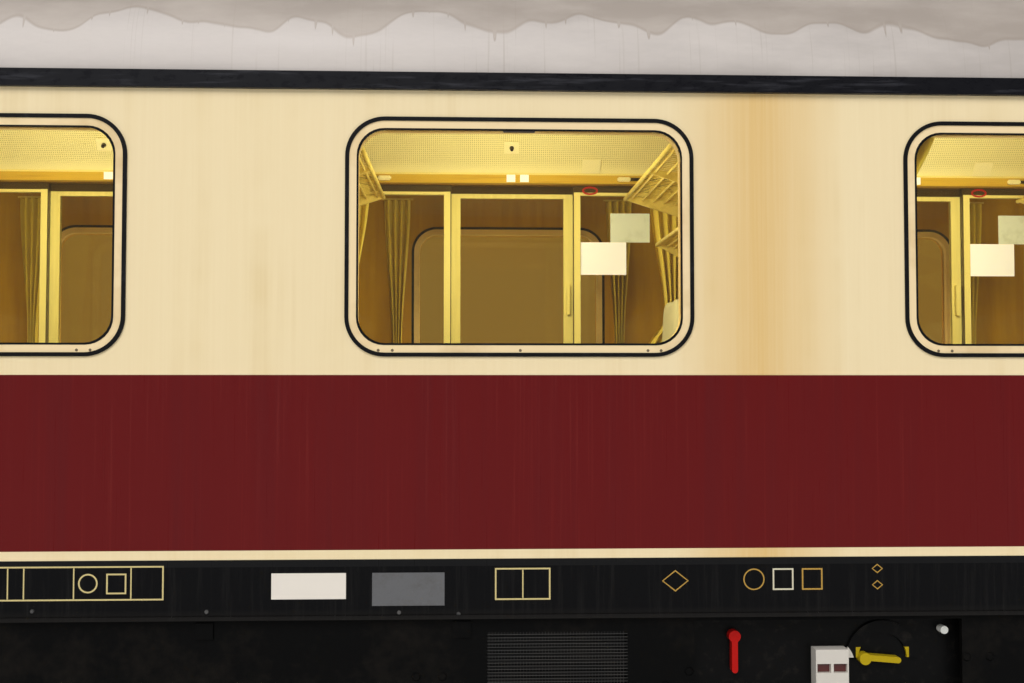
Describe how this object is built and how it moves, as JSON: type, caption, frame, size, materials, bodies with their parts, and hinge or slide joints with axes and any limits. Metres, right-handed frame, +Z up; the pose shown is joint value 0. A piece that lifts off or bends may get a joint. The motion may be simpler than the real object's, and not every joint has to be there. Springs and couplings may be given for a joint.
{
  "type": "side-corridor railway passenger coach",
  "caption": "Side-corridor railway coach with closed compartments, folding entrance doors, end gangways and two bogies.",
  "frame": {"origin": "middle of the coach, midway between the side walls, at the height of the wheel flanges' tips", "axes": "+X along the coach, +Y across it towards the corridor side, +Z up"},
  "size_m": [26.4, 2.9676, 4.0779],
  "materials": {
    "cream_paint": "weathered gloss",
    "entrance_paint": "weathered gloss",
    "roof_paint": "dull, streaked",
    "black_paint": "semi-gloss",
    "underframe_paint": "dull",
    "bogie_paint": "dull, dusty",
    "spring_steel": "dull",
    "wheel_steel": "turned tread, rusty web",
    "brake_shoe": "rough",
    "gasket_rubber": "satin",
    "bellows_rubber": "matt",
    "frame_aluminium": "anodised",
    "window_glass": "clear",
    "screen_glass": "clear",
    "door_frame_aluminium": "anodised, golden",
    "gangway_door_paint": "satin",
    "floor_lining": "matt",
    "wood_veneer": "satin",
    "panel_veneer": "satin",
    "ceiling_panel": "perforated",
    "seat_cloth": "woven",
    "curtain_cloth": "woven",
    "rack_metal": "polished",
    "table_laminate": "satin",
    "rail_steel": "brushed",
    "step_steel": "worn grating",
    "buffer_steel": "greasy",
    "coupling_steel": "greasy",
    "equipment_paint": "dusty",
    "skirt_paint": "semi-gloss",
    "control_enamel": "gloss",
    "lamp_lens": "clear red",
    "end_paint": "weathered"
  },
  "bodies": {
    "root": {"underframe": "underframe_paint", "floor_deck": "floor_lining", "side_wall_compartments": "cream_paint", "side_wall_corridor": "cream_paint", "entrance_walls": "entrance_paint", "end_walls": "end_paint", "roof": "roof_paint", "rain_gutters": "black_paint", "window_gaskets": "gasket_rubber", "window_frames": "frame_aluminium", "window_panes": "window_glass", "gangway_bellows": "bellows_rubber", "buffers": "buffer_steel", "draw_gear": "coupling_steel", "entrance_steps": "step_steel", "handrails": "rail_steel", "skirts": "skirt_paint", "underfloor_equipment": "equipment_paint", "tail_lamps": "lamp_lens", "partitions": "wood_veneer", "corridor_wall_panels": "panel_veneer", "corridor_wall_glass": "screen_glass", "ceilings": "ceiling_panel", "seats": "seat_cloth", "luggage_racks": "rack_metal", "curtains": "curtain_cloth", "window_tables": "table_laminate", "brake_controls": "control_enamel"},
    "bogie_a": {"bogie_a_frame": "bogie_paint", "bogie_a_bolster": "bogie_paint", "bogie_a_axle_boxes": "spring_steel", "bogie_a_track_brakes": "brake_shoe"},
    "wheelset_a1": {"bogie_a_wheelset_1": "wheel_steel"},
    "wheelset_a2": {"bogie_a_wheelset_2": "wheel_steel"},
    "bogie_b": {"bogie_b_frame": "bogie_paint", "bogie_b_bolster": "bogie_paint", "bogie_b_axle_boxes": "spring_steel", "bogie_b_track_brakes": "brake_shoe"},
    "wheelset_b1": {"bogie_b_wheelset_1": "wheel_steel"},
    "wheelset_b2": {"bogie_b_wheelset_2": "wheel_steel"},
    "entrance_door_compartment_side_a_hinged_leaf": {"entrance_door_compartment_side_a_hinged": "entrance_paint"},
    "entrance_door_compartment_side_a_folding_leaf": {"entrance_door_compartment_side_a_folding": "entrance_paint"},
    "entrance_door_compartment_side_b_hinged_leaf": {"entrance_door_compartment_side_b_hinged": "entrance_paint"},
    "entrance_door_compartment_side_b_folding_leaf": {"entrance_door_compartment_side_b_folding": "entrance_paint"},
    "entrance_door_corridor_side_a_hinged_leaf": {"entrance_door_corridor_side_a_hinged": "entrance_paint"},
    "entrance_door_corridor_side_a_folding_leaf": {"entrance_door_corridor_side_a_folding": "entrance_paint"},
    "entrance_door_corridor_side_b_hinged_leaf": {"entrance_door_corridor_side_b_hinged": "entrance_paint"},
    "entrance_door_corridor_side_b_folding_leaf": {"entrance_door_corridor_side_b_folding": "entrance_paint"},
    "gangway_door_end_a_panel": {"gangway_door_end_a": "gangway_door_paint"},
    "gangway_door_end_b_panel": {"gangway_door_end_b": "gangway_door_paint"},
    "compartment_door_1_panel": {"compartment_door_1": "door_frame_aluminium"},
    "compartment_door_2_panel": {"compartment_door_2": "door_frame_aluminium"},
    "compartment_door_3_panel": {"compartment_door_3": "door_frame_aluminium"},
    "compartment_door_4_panel": {"compartment_door_4": "door_frame_aluminium"},
    "compartment_door_5_panel": {"compartment_door_5": "door_frame_aluminium"},
    "compartment_door_6_panel": {"compartment_door_6": "door_frame_aluminium"},
    "compartment_door_7_panel": {"compartment_door_7": "door_frame_aluminium"},
    "compartment_door_8_panel": {"compartment_door_8": "door_frame_aluminium"},
    "compartment_door_9_panel": {"compartment_door_9": "door_frame_aluminium"}
  },
  "joints": [
    {"name": "bogie_a_turn", "type": "hinge", "parent": "root", "child": "bogie_a", "pos_m": [-9.5, 0, 1.018], "axis": [0, 0, 1], "range_deg": [-6, 6]},
    {"name": "wheelset_a1_spin", "type": "hinge", "parent": "bogie_a", "child": "wheelset_a1", "pos_m": [-10.75, 0, 0.503], "axis": [0, 1, 0], "continuous": true},
    {"name": "wheelset_a2_spin", "type": "hinge", "parent": "bogie_a", "child": "wheelset_a2", "pos_m": [-8.25, 0, 0.503], "axis": [0, 1, 0], "continuous": true},
    {"name": "bogie_b_turn", "type": "hinge", "parent": "root", "child": "bogie_b", "pos_m": [9.5, 0, 1.018], "axis": [0, 0, 1], "range_deg": [-6, 6]},
    {"name": "wheelset_b1_spin", "type": "hinge", "parent": "bogie_b", "child": "wheelset_b1", "pos_m": [8.25, 0, 0.503], "axis": [0, 1, 0], "continuous": true},
    {"name": "wheelset_b2_spin", "type": "hinge", "parent": "bogie_b", "child": "wheelset_b2", "pos_m": [10.75, 0, 0.503], "axis": [0, 1, 0], "continuous": true},
    {"name": "entrance_door_compartment_side_a_swing", "type": "hinge", "parent": "root", "child": "entrance_door_compartment_side_a_hinged_leaf", "pos_m": [-11.49263, -1.38759, 2], "axis": [0, 0, 1], "range_deg": [0, 88]},
    {"name": "entrance_door_compartment_side_a_fold", "type": "hinge", "parent": "entrance_door_compartment_side_a_hinged_leaf", "child": "entrance_door_compartment_side_a_folding_leaf", "pos_m": [-11.92056, -1.30878, 2], "axis": [0, 0, 1], "range_deg": [-176, 0]},
    {"name": "entrance_door_compartment_side_b_swing", "type": "hinge", "parent": "root", "child": "entrance_door_compartment_side_b_hinged_leaf", "pos_m": [11.49263, -1.38759, 2], "axis": [0, 0, -1], "range_deg": [0, 88]},
    {"name": "entrance_door_compartment_side_b_fold", "type": "hinge", "parent": "entrance_door_compartment_side_b_hinged_leaf", "child": "entrance_door_compartment_side_b_folding_leaf", "pos_m": [11.92056, -1.30878, 2], "axis": [0, 0, -1], "range_deg": [-176, 0]},
    {"name": "entrance_door_corridor_side_a_swing", "type": "hinge", "parent": "root", "child": "entrance_door_corridor_side_a_hinged_leaf", "pos_m": [-11.49263, 1.38759, 2], "axis": [0, 0, -1], "range_deg": [0, 88]},
    {"name": "entrance_door_corridor_side_a_fold", "type": "hinge", "parent": "entrance_door_corridor_side_a_hinged_leaf", "child": "entrance_door_corridor_side_a_folding_leaf", "pos_m": [-11.92056, 1.30878, 2], "axis": [0, 0, -1], "range_deg": [-176, 0]},
    {"name": "entrance_door_corridor_side_b_swing", "type": "hinge", "parent": "root", "child": "entrance_door_corridor_side_b_hinged_leaf", "pos_m": [11.49263, 1.38759, 2], "axis": [0, 0, 1], "range_deg": [0, 88]},
    {"name": "entrance_door_corridor_side_b_fold", "type": "hinge", "parent": "entrance_door_corridor_side_b_hinged_leaf", "child": "entrance_door_corridor_side_b_folding_leaf", "pos_m": [11.92056, 1.30878, 2], "axis": [0, 0, 1], "range_deg": [-176, 0]},
    {"name": "gangway_door_end_a_slide", "type": "slide", "parent": "root", "child": "gangway_door_end_a_panel", "axis": [0, 1, 0], "range_m": [0, 0.76]},
    {"name": "gangway_door_end_b_slide", "type": "slide", "parent": "root", "child": "gangway_door_end_b_panel", "axis": [0, 1, 0], "range_m": [0, 0.76]},
    {"name": "compartment_door_1_slide", "type": "slide", "parent": "root", "child": "compartment_door_1_panel", "axis": [-1, 0, 0], "range_m": [0, 0.65]},
    {"name": "compartment_door_2_slide", "type": "slide", "parent": "root", "child": "compartment_door_2_panel", "axis": [-1, 0, 0], "range_m": [0, 0.65]},
    {"name": "compartment_door_3_slide", "type": "slide", "parent": "root", "child": "compartment_door_3_panel", "axis": [-1, 0, 0], "range_m": [0, 0.65]},
    {"name": "compartment_door_4_slide", "type": "slide", "parent": "root", "child": "compartment_door_4_panel", "axis": [-1, 0, 0], "range_m": [0, 0.65]},
    {"name": "compartment_door_5_slide", "type": "slide", "parent": "root", "child": "compartment_door_5_panel", "axis": [-1, 0, 0], "range_m": [0, 0.65]},
    {"name": "compartment_door_6_slide", "type": "slide", "parent": "root", "child": "compartment_door_6_panel", "axis": [-1, 0, 0], "range_m": [0, 0.65]},
    {"name": "compartment_door_7_slide", "type": "slide", "parent": "root", "child": "compartment_door_7_panel", "axis": [-1, 0, 0], "range_m": [0, 0.65]},
    {"name": "compartment_door_8_slide", "type": "slide", "parent": "root", "child": "compartment_door_8_panel", "axis": [-1, 0, 0], "range_m": [0, 0.65]},
    {"name": "compartment_door_9_slide", "type": "slide", "parent": "root", "child": "compartment_door_9_panel", "axis": [-1, 0, 0], "range_m": [0, 0.65]}
  ],
  "couplings": [
    {"joint": "entrance_door_compartment_side_a_fold", "follows": "entrance_door_compartment_side_a_swing", "ratio": -2},
    {"joint": "entrance_door_compartment_side_b_fold", "follows": "entrance_door_compartment_side_b_swing", "ratio": -2},
    {"joint": "entrance_door_corridor_side_a_fold", "follows": "entrance_door_corridor_side_a_swing", "ratio": -2},
    {"joint": "entrance_door_corridor_side_b_fold", "follows": "entrance_door_corridor_side_b_swing", "ratio": -2}
  ]
}
